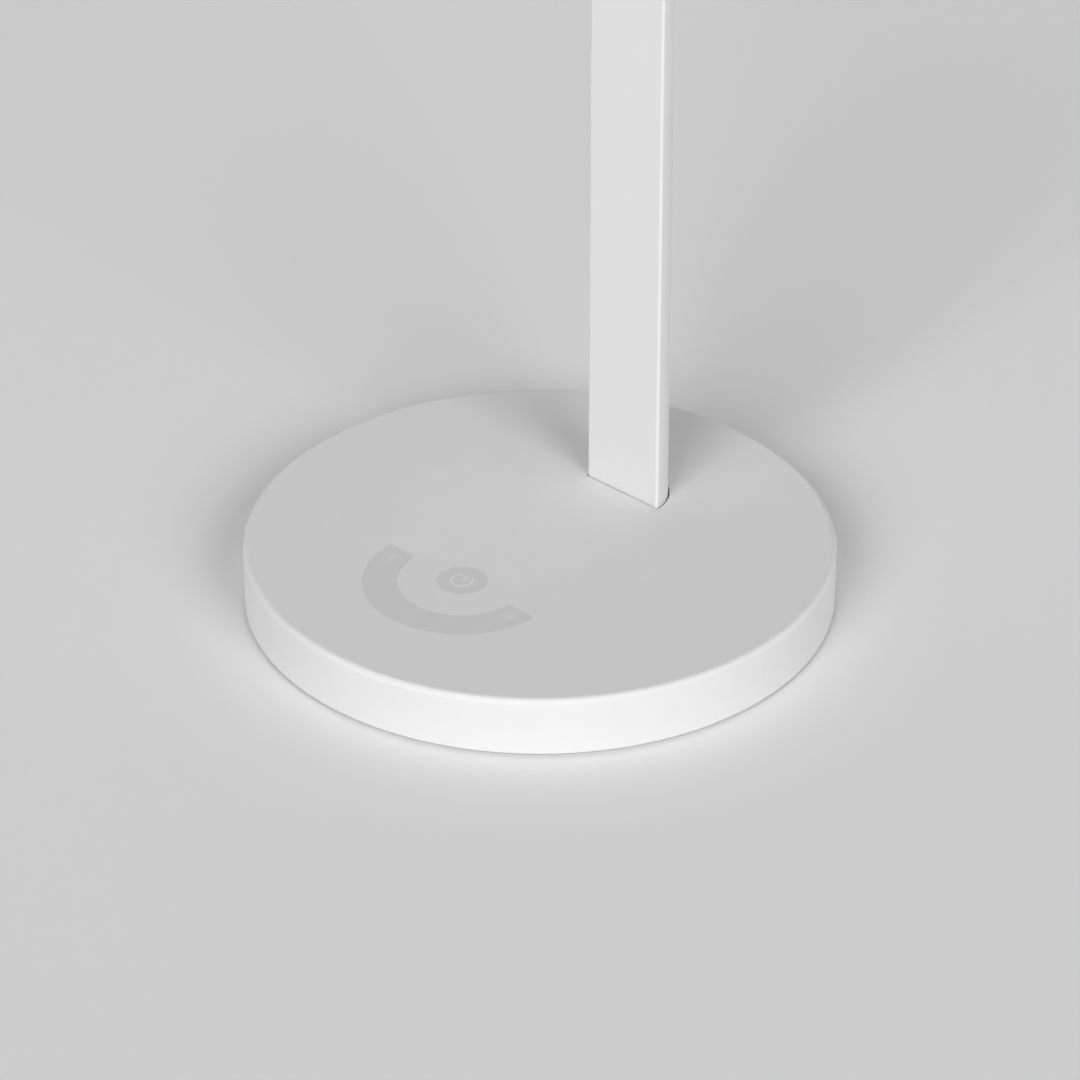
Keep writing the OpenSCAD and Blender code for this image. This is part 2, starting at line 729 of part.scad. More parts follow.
module ballast() {
    color(zinc) difference() {
        translate([0, 0, plate_top_z]) cylinder(r = ballast_r, h = ballast_t);
        translate([-base_r, chord_y, 0]) cube([base_d, base_r, base_top_z]);
        for (deg = ballast_screw_deg) rotate(deg) translate([ballast_screw_r, 0, plate_top_z])
            flat_screw_hole(ballast_screw_d, ballast_screw_l);
        at_foot_screws() flat_screw_hole(foot_screw_d, foot_screw_l);
    }
}

module ballast_screws() {
    color(steel) for (deg = ballast_screw_deg) rotate(deg) translate([ballast_screw_r, 0, plate_top_z])
        flat_screw(ballast_screw_d, ballast_screw_l);
}

// ---- Stem foot ----

// Frame of the stem's foot: x across, y towards the round back, z up from the ballast
module foot_frame() { translate([0, hinge_y, ballast_top_z]) children(); }

// The places of the grub screws, pointing back into the foot
module at_grubs() {
    for (x = [-1, 1]) translate([x * grub_x, stem_y, (stem_z + roof_z) / 2])
        rotate([-90, 0, 0]) children();
}

module stem_foot() {
    bore_r = foot_bore_d / 2;
    ramp_top = foot_groove_h + foot_ramp + bore_r;
    color(zinc) difference() {
        foot_frame() {
            linear_extrude(foot_flange_t) half_round(bar_r + foot_rim, bar_flat - foot_rim, foot_rim);
            translate([0, 0, foot_flange_t - lap]) linear_extrude(foot_plug_h + lap) bore_outline(plug_fit);
        }
        foot_frame() {
            translate([0, foot_bore_v, -over]) cylinder(r = bore_r, h = foot_plug_h + 3 * over);
            translate([-bore_r, foot_bore_v, 0]) rotate([90, 0, 90]) linear_extrude(foot_bore_d)
                polygon([[0, -over], [2 * bar_r, -over], [2 * bar_r, foot_groove_h],
                    [bore_r + foot_ramp, foot_groove_h], [0, ramp_top]]);
        }
        at_foot_screws() cylinder(d = foot_screw_d + 2 * screw_fit, h = foot_screw_l + drill_tip);
        at_grubs() cylinder(d = grub_d + 2 * screw_fit, h = grub_l + drill_tip);
    }
}

module stem_screws() { color(steel) at_foot_screws() flat_screw(foot_screw_d, foot_screw_l); }

module stem_set_screws() {
    sunk = 0.2;
    color(steel) at_grubs() difference() {
        translate([0, 0, sunk]) cylinder(d = grub_d, h = grub_l);
        cylinder(d = 0.55 * grub_d, h = sunk + grub_d / 2, $fn = 6);
    }
}

// ---- Touch controls ----

module touch_board() {
    corner = 3;
    color(laminate) difference() {
        translate([0, (touch_front_y + touch_back_y) / 2, touch_z])
            linear_extrude(touch_board_t) rounded_rect(touch_board_w, touch_board_l, corner);
        at_stakes() translate([0, 0, touch_z - over])
            cylinder(d = stake_d + 2 * screw_fit, h = touch_board_t + 2 * over);
    }
}

module touch_electrodes() {
    step_deg = 180 / foam_count;
    color(black) translate([0, -pad_front, touch_top_z]) {
        cylinder(r = pad_d / 2 - foam_margin, h = foam_t);
        for (i = [0 : foam_count - 1]) rotate(180 + i * step_deg + foam_gap_deg / 2)
            rotate_extrude(angle = step_deg - foam_gap_deg) translate([slider_in_r + foam_margin, 0])
                square([slider_out_r - slider_in_r - 2 * foam_margin, foam_t]);
    }
}

module touch_chip() {
    color(black) translate([touch_chip_w, -pad_front - touch_chip_w / 2, touch_z - touch_chip_t])
        cube([touch_chip_w, touch_chip_w, touch_chip_t]);
}

module touch_connector() {
    color(opal) translate([-touch_socket_x - connector_w / 2, touch_back_y - connector_l,
        touch_z - connector_h]) cube([connector_w, connector_l, connector_h]);
}

// ---- Driver board ----

module touch_cable() {
    cable_z = touch_z - connector_h / 2;
    lane_x = bar_r + foot_rim + cable_room + cable_d / 2;
    color(black) cable(rounded_path([
        [-touch_socket_x, touch_back_y, cable_z],
        [-touch_socket_x, touch_back_y + cable_lead, cable_z],
        [-lane_x, hinge_y - 2 * bar_r, loop_z],
        [-lane_x, hinge_y + bar_r / 2, loop_z],
        [-touch_plug_x, socket_y - cable_lead, loop_z],
        [-touch_plug_x, socket_y, loop_z],
        [-touch_plug_x, socket_y, socket_top_z]], cable_lead), cable_d, [1, 0, 0]);
}

module driver_board() {
    color(laminate) difference() {
        translate([-driver_w / 2, driver_front_y, driver_z]) cube([driver_w, driver_l, driver_t]);
        at_posts() translate([0, 0, driver_z - over])
            cylinder(d = board_screw_d + 2 * screw_fit, h = driver_t + 2 * over);
    }
}

module board_screws() {
    color(steel) at_posts() translate([0, 0, driver_top_z]) pan_screw(board_screw_d, driver_t + post_h);
}

module dc_jack() {
    color(black) translate([0, 0, jack_axis_z]) difference() {
        union() {
            translate([-jack_w / 2, jack_back_y, -jack_axis_h]) cube([jack_w, jack_l, jack_h]);
            translate([0, jack_front_y - lap, 0]) rotate([-90, 0, 0])
                cylinder(d = jack_nose_d, h = jack_nose_l + lap);
        }
        translate([0, jack_floor_y, 0]) rotate([-90, 0, 0]) cylinder(d = jack_bore_d, h = jack_bore_l + over);
        translate([0, jack_floor_y - jack_root_l, 0]) rotate([-90, 0, 0])
            cylinder(r = jack_root_r + press_fit, h = over);
    }
}

module dc_pin() {
    pin_r = jack_pin_d / 2;
    root_end = jack_root_l + 0.2;
    tip = jack_root_l + jack_bore_l - jack_pin_recess;
    tip_chamfer = 0.4;
    color(brass) translate([0, jack_floor_y - jack_root_l, jack_axis_z]) rotate([-90, 0, 0])
        rotate_extrude() polygon([[0, 0], [jack_root_r, 0], [jack_root_r, root_end], [pin_r, root_end],
            [pin_r, tip - tip_chamfer], [pin_r - tip_chamfer, tip], [0, tip]]);
}

module power_inductor() {
    corner = 0.15 * inductor_w;
    color(black) translate([-inductor_x, parts_y, driver_top_z])
        linear_extrude(inductor_h) rounded_rect(inductor_w, inductor_w, corner);
}

module capacitor() {
    foot_h = 1;
    color(zinc) translate([driver_w / 2 - capacitor_inset, parts_y, driver_top_z]) {
        translate([0, 0, foot_h]) cylinder(d = capacitor_d, h = capacitor_h - foot_h);
        linear_extrude(foot_h) rounded_rect(capacitor_d, capacitor_d, foot_h);
    }
}

module driver_chips() {
    color(black) {
        translate([-chip_l, socket_y, driver_top_z]) cube([chip_l, chip_l, chip_t]);
        translate([-2.5 * chip_l, socket_y, driver_top_z]) cube([chip_l / 2, chip_l, chip_t]);
    }
}

module board_connectors() {
    color(opal) for (x = [-touch_plug_x, stem_plug_x])
        translate([x - connector_w / 2, socket_y - connector_l / 2, driver_top_z])
            cube([connector_w, connector_l, connector_h]);
}

// ---- Stem ----

module stem_cable() {
    groove_z = ballast_top_z + foot_groove_h / 2;
    bore_y = hinge_y + foot_bore_v;
    foot_top_z = stem_z + foot_plug_h;
    plug_end_z = hinge_h - collar - hinge_plug_h;
    enter_deg = -acos(tongue_bore_v / channel_r);
    bore_top_z = hinge_h + channel_r * sin(enter_deg) - 1.5 * cable_d;
    color(black) cable(concat(rounded_path([
        [stem_plug_x, socket_y, socket_top_z],
        [stem_plug_x, socket_y, loop_z],
        [stem_plug_x / 2, chord_y - cable_d / 2, (loop_z + groove_z) / 2 + cable_d / 4],
        [0, hinge_y + bar_r + foot_rim, groove_z],
        [0, bore_y, groove_z],
        [0, bore_y, foot_top_z + foot_plug_h],
        [cable_x, hinge_y + tongue_bore_v, plug_end_z - hinge_plug_h],
        [cable_x, hinge_y + tongue_bore_v, bore_top_z]], 3 * cable_d),
        [for (deg = [enter_deg : 15 : channel_deg])
            [cable_x, hinge_y + channel_r * cos(deg), hinge_h + channel_r * sin(deg)]]),
        cable_d, [1, 0, 0]);
}

// The place of the screw through the stem's flat face, in the stem's own frame and in the lamp
module stem_screw_place() { translate([0, bar_flat, stem_screw_u]) rotate([-90, 0, 0]) children(); }
module at_stem_screw() { stem_frame() stem_screw_place() children(); }

module stem_tube() {
    color(paint_white) difference() {
        translate([0, hinge_y, stem_z]) linear_extrude(hinge_h - collar - stem_z) difference() {
            bar_outline();
            bore_outline(0);
        }
        at_grubs() translate([0, 0, -over]) cylinder(d = grub_d + 2 * screw_fit, h = over + tube_wall + lap);
        at_stem_screw() covered_screw_hole(stem_screw_l);
    }
}

module stem_top() {
    color(paint_white) stem_frame() difference() {
        union() {
            intersection() {
                ball(bar_r);
                slab(-tongue_x, tongue_x);
            }
            intersection() {
                linear_extrude(collar - seam_w) bar_outline();
                slab(-tongue_x, tongue_x);
            }
            difference() {
                translate([0, 0, shoulder]) linear_extrude(collar - seam_w - shoulder) bar_outline();
                ball(bar_r + ball_gap);
            }
            translate([0, 0, collar - seam_w - lap]) linear_extrude(seam_w + lap) seam_outline();
            translate([0, 0, collar - lap]) linear_extrude(hinge_plug_h + lap) bore_outline(plug_fit);
        }
        cross_rod(bush_r + press_fit, -bar_r, bar_r);
        translate([cable_x, tongue_bore_v, channel_r / 2])
            cylinder(r = cable_d / 2 + cable_fit, h = 4 * collar);
        stem_screw_place() covered_screw_hole(stem_screw_l);
        tongue_grooves();
    }
}

// The cable's ring groove on the tongue's left and the stop groove on its right, drawn in the
// stem's frame, where the second axis of the plane points down
module tongue_grooves() {
    half_w = dowel_d / 2 + stop_fit;
    translate([-tongue_x - lap, 0, 0]) rotate([90, 0, 90]) rotate_extrude()
        translate([channel_r - half_w, 0]) square([2 * half_w, groove_depth + lap]);
    end_deg = asin(half_w / channel_r);
    mirror([0, 0, 1]) translate([tongue_x - groove_depth, 0, 0]) rotate([90, 0, 90])
        rotate(channel_deg - open_deg - end_deg) rotate_extrude(angle = open_deg + fold_deg + 2 * end_deg)
            translate([channel_r - half_w, 0]) square([2 * half_w, groove_depth + lap]);
}

module stem_top_screw() { color(steel) at_stem_screw() covered_screw(stem_screw_l); }

module stem_screw_cover() { color(paint_white) at_stem_screw() screw_cover(); }

// ---- Hinge ----

module hinge_bush() {
    color(black) arm_frame() difference() {
        cross_rod(bush_r, -tongue_x, tongue_x);
        cross_rod(pin_d / 2 + pin_fit, -bar_r, bar_r);
    }
}

module friction_washers() {
    washer_t = ear_gap - washer_gap;
    color(steel) arm_frame() for (side = [0, 1]) mirror([side, 0, 0]) difference() {
        cross_rod(washer_d / 2, tongue_x, tongue_x + washer_t);
        cross_rod(pin_d / 2 + pin_fit, 0, bar_r);
    }
}

module hinge_pin() {
    key_d = 0.65 * pin_d;
    nut_end = pocket_x + spring_stack + nut_t;
    color(steel) arm_frame() difference() {
        union() {
            cross_rod(pin_d / 2, -nut_end, pocket_x + lap);
            cross_rod(pin_head_d / 2, pocket_x, pocket_x + pin_head_t);
        }
        translate([pocket_x + pin_head_t / 2, 0, 0]) rotate([0, 90, 0])
            cylinder(d = key_d, h = over, $fn = 6);
    }
}

// Two disc springs, back to back, between the left ear and the nut
module disc_springs() {
    room = 0.4;
    r_in = pin_d / 2 + screw_fit;
    r_out = pocket_d / 2 - room;
    color(steel) arm_frame() translate([-pocket_x, 0, 0]) rotate([0, -90, 0]) rotate_extrude() {
        polygon([[r_in, spring_cone], [r_out, 0], [r_out, spring_t], [r_in, spring_cone + spring_t]]);
        polygon([[r_in, spring_cone + spring_t], [r_out, 2 * spring_cone + spring_t],
            [r_out, spring_stack], [r_in, spring_cone + 2 * spring_t]]);
    }
}

module hinge_nut() {
    start = pocket_x + spring_stack;
    color(steel) arm_frame() difference() {
        translate([-start - nut_t, 0, 0]) rotate([0, 90, 0]) cylinder(d = nut_d, h = nut_t, $fn = 6);
        cross_rod(pin_d / 2 + press_fit, -bar_r, 0);
    }
}

module hinge_caps() {
    cap_r = pocket_d / 2 - press_fit;
    round_r = 0.3;
    color(paint_white) arm_frame() for (side = [0, 1]) mirror([side, 0, 0])
        translate([ear_face - cap_t, 0, 0]) rotate([0, 90, 0]) rotate_extrude() {
            square([cap_r, cap_t - round_r]);
            square([cap_r - round_r, cap_t]);
            translate([cap_r - round_r, cap_t - round_r]) circle(round_r);
        }
}

module stop_dowel() {
    color(steel) arm_frame() translate([0, channel_v, channel_u])
        cross_rod(dowel_d / 2, tongue_x - dowel_reach, slot_x + dowel_seat);
}

// ---- Arm ----

// The two ears and the shoulder that joins them
module fork_head() {
    for (side = [0, 1]) mirror([side, 0, 0]) intersection() {
        ball(bar_r);
        slab(slot_x, ear_face);
    }
    difference() {
        linear_extrude(collar - seam_w) bar_outline();
        intersection() {
            ball(bar_r + ball_gap);
            slab(-slot_x, slot_x);
        }
        translate([-slot_x, -2 * bar_r, -over]) cube([2 * slot_x, 4 * bar_r, shoulder + over]);
        for (side = [0, 1]) mirror([side, 0, 0]) translate([ear_face, -2 * bar_r, -over])
            cube([bar_r, 4 * bar_r, spot_r + over]);
    }
}

// The place of the screw through the arm's flat face, in the arm's own frame
module fork_screw_place() { translate([0, bar_flat, fork_screw_u]) rotate([-90, 0, 0]) children(); }

module arm_fork() {
    color(paint_white) arm_frame() difference() {
        union() {
            fork_head();
            translate([0, 0, collar - seam_w - lap]) linear_extrude(seam_w + lap) seam_outline();
            translate([0, 0, collar - lap]) linear_extrude(block_l + lap) {
                lower_chamber(plug_fit);
                lens_opening(plug_fit);
            }
            translate([0, 0, collar - lap]) linear_extrude(hinge_plug_h + lap) upper_chamber(plug_fit);
        }
        for (side = [0, 1]) mirror([side, 0, 0]) cross_rod(pocket_d / 2, pocket_x, bar_r + over);
        cross_rod(pin_d / 2 + press_fit, -bar_r, bar_r);
        translate([0, channel_v, channel_u]) {
            cross_rod(dowel_d / 2 + press_fit, slot_x - lap, slot_x + dowel_seat + press_fit);
            cross_rod(fork_bore_d / 2, -fork_bore_x, -slot_x + lap);
        }
        translate([-fork_bore_x, channel_v, channel_u - fork_bore_d / 2])
            cylinder(d = fork_bore_d, h = block_end);
        fork_screw_place() covered_screw_hole(fork_screw_l);
    }
}

module fork_screw() { color(steel) arm_frame() fork_screw_place() covered_screw(fork_screw_l); }

module fork_screw_cover() { color(paint_white) arm_frame() fork_screw_place() screw_cover(); }

module lens_opening(gap) {
    translate([-lens_w / 2 + gap, bar_flat]) square([lens_w - 2 * gap, tube_wall + 2 * gap + lap]);
}

module arm_shell() {
    color(paint_white) arm_frame() difference() {
        translate([0, 0, collar]) linear_extrude(shell_end - collar) difference() {
            bar_outline();
            upper_chamber(0);
            lower_chamber(0);
            translate([-lens_w / 2, 0]) square([lens_w, tube_flat + lap]);
        }
        translate([0, web_v - lap, fork_screw_u]) rotate([-90, 0, 0])
            cylinder(d = flat_screw_d + 2 * screw_fit, h = web_t + 2 * lap);
    }
}

module led_board() {
    color(shell_white) arm_frame() translate([-led_board_w / 2, led_top_v, led_start])
        cube([led_board_w, led_board_t, led_end - led_start]);
}

module led_chips() {
    color(phosphor) arm_frame() for (i = [0 : chip_count - 1])
        translate([-led_w / 2, led_top_v - led_t, first_chip + i * led_pitch]) cube([led_w, led_t, led_l]);
}

// Two strips that lean from the light board's edges to the diffuser's edges
module reflector() {
    room = 0.2;
    board_x = led_board_w / 2 + room;
    foot_x = lens_w / 2 + lens_edge - reflector_t;
    foot_v = tube_flat + lens_fit + lens_t + reflector_t;
    color(opal) arm_frame() for (side = [0, 1]) mirror([side, 0, 0])
        translate([0, 0, first_chip - reflector_lead])
            linear_extrude(shell_end - reflector_end_gap - first_chip + reflector_lead)
            polygon([[board_x, led_top_v], [board_x + reflector_t, led_top_v],
                [foot_x, foot_v], [foot_x - reflector_t, foot_v]]);
}

module diffuser() {
    face_w = lens_w - 2 * lens_fit;
    back_v = tube_flat + lens_fit;
    color(opal) arm_frame() translate([0, 0, block_end + lens_fit])
        linear_extrude(shell_end - block_end - 2 * lens_fit) {
            translate([-face_w / 2, bar_flat + lens_recess])
                square([face_w, back_v + lens_t - bar_flat - lens_recess]);
            translate([-face_w / 2 - lens_edge, back_v]) square([face_w + 2 * lens_edge, lens_t]);
        }
}

// What is cut from the end cap's rim to round it
module tip_rounding() {
    rotate_extrude() difference() {
        translate([bar_r - tip_edge_r, arm_len - tip_edge_r]) square([tip_edge_r + over, tip_edge_r + over]);
        translate([bar_r - tip_edge_r, arm_len - tip_edge_r]) circle(tip_edge_r);
    }
}

module arm_tip() {
    color(paint_white) arm_frame() difference() {
        union() {
            translate([0, 0, shell_end]) linear_extrude(seam_w + lap) seam_outline();
            translate([0, 0, shell_end + seam_w]) linear_extrude(tip_l - seam_w) bar_outline();
            translate([0, 0, shell_end - tip_plug_l]) linear_extrude(tip_plug_l + lap)
                upper_chamber(plug_fit);
        }
        tip_rounding();
        translate([0, bar_flat - over, bumper_u]) rotate([-90, 0, 0])
            cylinder(r = bumper_d / 2 + press_fit, h = over + bumper_seat);
    }
}

module bumper() {
    color(black) arm_frame() translate([0, bar_flat - bumper_rise, bumper_u]) rotate([-90, 0, 0])
        cylinder(d = bumper_d, h = bumper_rise + bumper_seat);
}

module arm_cable() {
    solder_x = -fork_bore_x + 1.5 * cable_d;
    solder_v = led_top_v - cable_d / 2;
    color(black) arm_frame() cable(rounded_path([
        [-slot_x, channel_v, channel_u],
        [-fork_bore_x, channel_v, channel_u],
        [-fork_bore_x, channel_v, block_end + cable_d / 2],
        [solder_x, solder_v, block_end + 5 * cable_d],
        [solder_x, solder_v, block_end + 6.5 * cable_d]], 0.6 * cable_d), cable_d, [0, 1, 0]);
}

base_cover();
power_pad();
dimmer_arc();
base_plate();
grip_mat();
plate_screws();
ballast();
ballast_screws();
stem_foot();
stem_screws();
stem_set_screws();
touch_board();
touch_electrodes();
touch_chip();
touch_connector();
touch_cable();
driver_board();
board_screws();
dc_jack();
dc_pin();
power_inductor();
capacitor();
driver_chips();
board_connectors();
stem_cable();
stem_tube();
stem_top();
stem_top_screw();
stem_screw_cover();
hinge_bush();
friction_washers();
hinge_pin();
disc_springs();
hinge_nut();
hinge_caps();
stop_dowel();
arm_fork();
fork_screw();
fork_screw_cover();
arm_shell();
led_board();
led_chips();
reflector();
diffuser();
arm_tip();
bumper();
arm_cable();
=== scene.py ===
"""Folding desk lamp: looks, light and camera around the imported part. Metres, +Z up, front is -Y."""
import math

import bmesh
import bpy
from mathutils import Matrix, Vector


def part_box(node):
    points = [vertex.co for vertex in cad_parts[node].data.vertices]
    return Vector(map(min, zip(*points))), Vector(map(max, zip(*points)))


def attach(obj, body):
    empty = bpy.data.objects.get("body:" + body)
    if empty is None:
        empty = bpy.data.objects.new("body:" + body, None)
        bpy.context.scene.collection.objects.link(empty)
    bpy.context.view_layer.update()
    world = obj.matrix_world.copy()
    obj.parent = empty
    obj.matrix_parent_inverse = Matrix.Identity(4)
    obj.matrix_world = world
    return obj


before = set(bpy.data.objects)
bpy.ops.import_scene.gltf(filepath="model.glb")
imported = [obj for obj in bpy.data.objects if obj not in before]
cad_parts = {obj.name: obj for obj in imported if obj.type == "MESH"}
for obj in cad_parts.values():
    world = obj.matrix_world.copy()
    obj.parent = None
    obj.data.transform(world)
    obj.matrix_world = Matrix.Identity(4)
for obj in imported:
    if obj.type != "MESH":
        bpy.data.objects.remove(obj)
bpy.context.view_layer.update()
scene = bpy.context.scene
MM = 0.001
WHITE = (1, 1, 1, 1)

# ---- Camera: a long lens to the front right, looking down on the base ----

AZIMUTH, ELEVATION = math.radians(43.319), math.radians(31.737)
FOCAL_PX, IMAGE_PX = 5233.0, 1080.0
DEPTH = 1.598                       # distance along the view to the base's centre on the table
CENTRE_PX = (-0.155, 51.996)        # where that centre lies in the image, right of and below its middle
SENSOR_WIDTH = 36
NEAR, FAR = 0.05, 60


def add_camera():
    ahead = Vector((-math.sin(AZIMUTH) * math.cos(ELEVATION),
                    math.cos(AZIMUTH) * math.cos(ELEVATION),
                    -math.sin(ELEVATION)))
    right = Vector((math.cos(AZIMUTH), math.sin(AZIMUTH), 0))
    up = right.cross(ahead)
    aside, below = [px / FOCAL_PX * DEPTH for px in CENTRE_PX]
    place = -DEPTH * ahead - right * aside + up * below
    lens = bpy.data.cameras.new("camera")
    lens.sensor_width = SENSOR_WIDTH
    lens.lens = SENSOR_WIDTH * FOCAL_PX / IMAGE_PX
    lens.clip_start, lens.clip_end = NEAR, FAR
    camera = bpy.data.objects.new("camera", lens)
    camera.matrix_world = Matrix((
        (right.x, up.x, -ahead.x, place.x),
        (right.y, up.y, -ahead.y, place.y),
        (right.z, up.z, -ahead.z, place.z),
        (0, 0, 0, 1)))
    scene.collection.objects.link(camera)
    scene.camera = camera


add_camera()

# ---- Materials. Scales are in cells per metre, depths in metres ----


def lin(value):
    """An 8-bit sRGB grey, or three of them, as linear colour."""
    values = value if isinstance(value, (tuple, list)) else (value, value, value)
    out = [v / 255 / 12.92 if v <= 10.31 else ((v / 255 + 0.055) / 1.055) ** 2.4 for v in values]
    return (*out, 1.0)


def ramp(tree, value, first, second, start, end, shape="LINEAR"):
    """A number that runs from first to second while a value runs from start to end."""
    node = tree.nodes.new("ShaderNodeMapRange")
    node.interpolation_type = shape
    node.inputs["From Min"].default_value = start
    node.inputs["From Max"].default_value = end
    node.inputs["To Min"].default_value = first
    node.inputs["To Max"].default_value = second
    tree.links.new(value, node.inputs["Value"])
    return node.outputs["Result"]


class Mat:
    """A Principled material whose colour, roughness and bump come from procedural nodes. Each pattern
    runs from its first value to its second between two levels of its fac, start and end."""

    def __init__(self, name, **sockets):
        self.mat = bpy.data.materials.new(name)
        self.mat.use_nodes = True
        self.nodes = self.mat.node_tree.nodes
        self.links = self.mat.node_tree.links
        self.shader = self.nodes["Principled BSDF"]
        for key, value in sockets.items():
            self.shader.inputs[key.replace("_", " ")].default_value = value
        self.place = self.nodes.new("ShaderNodeTexCoord").outputs["Object"]
        self.bumps = None

    def stretched(self, scale):
        """The object's coordinates, scaled along each axis."""
        node = self.nodes.new("ShaderNodeMapping")
        node.inputs["Scale"].default_value = scale
        self.links.new(self.place, node.inputs["Vector"])
        return node.outputs["Vector"]

    def noise(self, scale, detail=3.0, roughness=0.5, vector=None):
        node = self.nodes.new("ShaderNodeTexNoise")
        node.inputs["Scale"].default_value = scale
        node.inputs["Detail"].default_value = detail
        node.inputs["Roughness"].default_value = roughness
        self.links.new(vector or self.place, node.inputs["Vector"])
        return node.outputs["Fac"]

    def cells(self, scale):
        node = self.nodes.new("ShaderNodeTexVoronoi")
        node.inputs["Scale"].default_value = scale
        self.links.new(self.place, node.inputs["Vector"])
        return node.outputs["Distance"]

    def span(self, fac, first, second, start=0.3, end=0.7):
        return ramp(self.mat.node_tree, fac, first, second, start, end)

    def colour(self, fac, first, second, start=0.3, end=0.7):
        blend = self.nodes.new("ShaderNodeValToRGB")
        blend.color_ramp.elements[0].position = start
        blend.color_ramp.elements[0].color = first
        blend.color_ramp.elements[1].position = end
        blend.color_ramp.elements[1].color = second
        self.links.new(fac, blend.inputs["Fac"])
        self.links.new(blend.outputs["Color"], self.shader.inputs["Base Color"])

    def rough(self, fac, first, second):
        self.links.new(self.span(fac, first, second), self.shader.inputs["Roughness"])

    def bump(self, fac, depth):
        """Relief of this depth, on top of the bumps made before it."""
        node = self.nodes.new("ShaderNodeBump")
        node.inputs["Strength"].default_value = 1.0
        node.inputs["Distance"].default_value = depth
        self.links.new(fac, node.inputs["Height"])
        if self.bumps:
            self.links.new(self.bumps, node.inputs["Normal"])
        self.bumps = node.outputs["Normal"]
        self.links.new(self.bumps, self.shader.inputs["Normal"])


def coated(name, grey, tint=2, rough=(0.54, 0.6)):
    """Fine powder coat or satin moulding: a fine grain, a faint mottle and an even sheen."""
    m = Mat(name, Specular_IOR_Level=0.35)
    m.colour(m.noise(scale=55, detail=4), lin(grey - tint), lin(grey))
    m.rough(m.noise(scale=900, detail=2), *rough)
    m.bump(m.noise(scale=2600, detail=2), depth=0.000012)
    m.bump(m.noise(scale=420, detail=2), depth=0.00001)
    return m.mat


def printed(name, grey):
    """Smooth ink or film, faintly mottled."""
    m = Mat(name, Specular_IOR_Level=0.35)
    m.colour(m.noise(scale=160), lin(grey - 2), lin(grey + 1))
    m.rough(m.noise(scale=700, detail=2), 0.44, 0.54)
    m.bump(m.noise(scale=3000, detail=2), depth=0.000006)
    return m.mat


def moulded(name, first, second, rough=(0.5, 0.62), grain=1800, depth=0.00002):
    """Moulded plastic with an even grain."""
    m = Mat(name, Specular_IOR_Level=0.4)
    m.colour(m.noise(scale=120, detail=4), lin(first), lin(second))
    m.rough(m.noise(scale=500), *rough)
    m.bump(m.noise(scale=grain), depth)
    return m.mat


def rubber(name, first, second):
    """Soft rubber with a cellular skin."""
    m = Mat(name, Specular_IOR_Level=0.3)
    m.colour(m.noise(scale=240, detail=4), lin(first), lin(second))
    m.rough(m.noise(scale=400), 0.72, 0.86)
    m.bump(m.cells(scale=900), depth=0.00005)
    return m.mat


def metal(name, first, second, stretch, rough=(0.24, 0.38)):
    """Steel, zinc or brass, with the lines of its grinding or rolling, closest along the axis that
    stretch scales most."""
    m = Mat(name, Metallic=1.0)
    lines = m.noise(scale=60, detail=5, roughness=0.6, vector=m.stretched(stretch))
    m.colour(lines, lin(first), lin(second))
    m.rough(lines, *rough)
    m.bump(lines, depth=0.000006)
    return m.mat


def laminate(name, first, second):
    """Solder mask over a woven laminate, or a light chip's resin: smooth, over fine cells."""
    m = Mat(name, Specular_IOR_Level=0.5)
    m.colour(m.noise(scale=300, detail=4), lin(first), lin(second))
    m.rough(m.noise(scale=900, detail=2), 0.3, 0.42)
    m.bump(m.cells(scale=1500), depth=0.00001)
    return m.mat


def opal(name, first, second):
    """Opal acrylic: a soft white that scatters, with a fine satin skin."""
    m = Mat(name, Specular_IOR_Level=0.4, Subsurface_Weight=0.25, Subsurface_Scale=0.002)
    m.colour(m.noise(scale=90), lin(first), lin(second))
    m.rough(m.noise(scale=1200, detail=2), 0.36, 0.46)
    m.bump(m.noise(scale=2400, detail=2), depth=0.000008)
    return m.mat


cover_white = coated("satin_cover", 218)
bar_white = coated("powder_coat_bar", 217)
fitting_white = coated("powder_coat_fitting", 217, tint=3, rough=(0.52, 0.6))
inlay_grey = printed("grey_inlay", 205)
icon_light = printed("light_print", 219)
plate_black = moulded("textured_black", 30, 38, grain=900, depth=0.00008)
mat_black = rubber("mat_rubber", 24, 32)
bumper_grey = rubber("bumper_rubber", 176, 190)
foam_black = rubber("conductive_foam", 30, 42)
chip_black = moulded("chip_black", 26, 34)
inlet_black = moulded("inlet_black", 20, 26, rough=(0.34, 0.46))
bush_black = moulded("bush_acetal", 28, 36, rough=(0.4, 0.5))
cable_black = moulded("cable_jacket", 24, 32, rough=(0.5, 0.6), grain=3000, depth=0.00001)
nylon = moulded("connector_nylon", (214, 208, 190), (224, 219, 204))
board_green = laminate("solder_mask_green", (22, 84, 46), (30, 98, 56))
board_white = laminate("solder_mask_white", 224, 232)
phosphor = laminate("light_chip_phosphor", (226, 206, 110), (238, 220, 130))
reflector_white = printed("reflector_film", 232)
plated = metal("zinc_plate", 168, 184, stretch=(1, 14, 1))
ground = metal("ground_steel", 150, 172, stretch=(20, 1, 1), rough=(0.2, 0.32))
cast = metal("cast_zinc", 150, 168, stretch=(3, 3, 3), rough=(0.42, 0.58))
brass = metal("plated_brass", (206, 170, 96), (220, 188, 118), stretch=(1, 12, 1))
diffuser_opal = opal("opal_diffuser", (236, 236, 233), (238, 238, 235))

